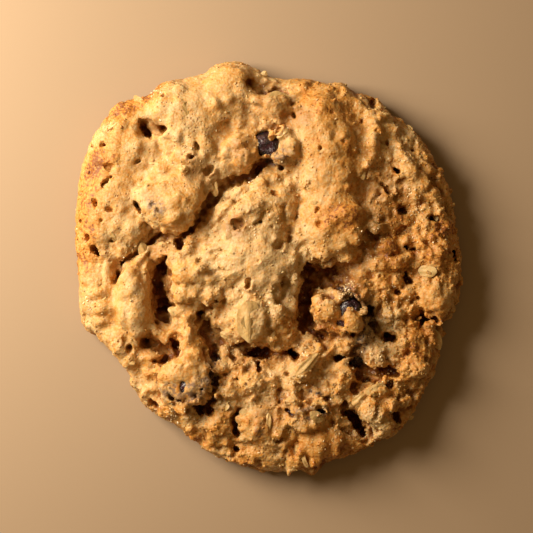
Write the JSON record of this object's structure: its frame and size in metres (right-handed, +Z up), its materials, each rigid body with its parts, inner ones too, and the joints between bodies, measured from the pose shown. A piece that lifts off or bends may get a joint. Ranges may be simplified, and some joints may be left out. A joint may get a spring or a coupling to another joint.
{
  "type": "oatmeal raisin cookie",
  "caption": "Round baked oatmeal raisin cookie with a flat underside, a lumpy cracked golden top and dark raisins in its surface.",
  "frame": {"origin": "middle of the flat underside, on the surface that the cookie lies on", "axes": "+Z up through the thickness, +Y the longer way across the round, +X to the right seen from above with +Y away"},
  "size_m": [0.0891, 0.0954, 0.0142],
  "materials": {
    "baked_dough": null,
    "raisin_skin": null
  },
  "bodies": {
    "root": {"dough": "baked_dough", "raisin_north": "raisin_skin", "raisin_west": "raisin_skin", "raisin_southwest": "raisin_skin", "raisin_east": "raisin_skin", "raisin_south": "raisin_skin", "raisin_southeast": "raisin_skin"}
  },
  "joints": []
}
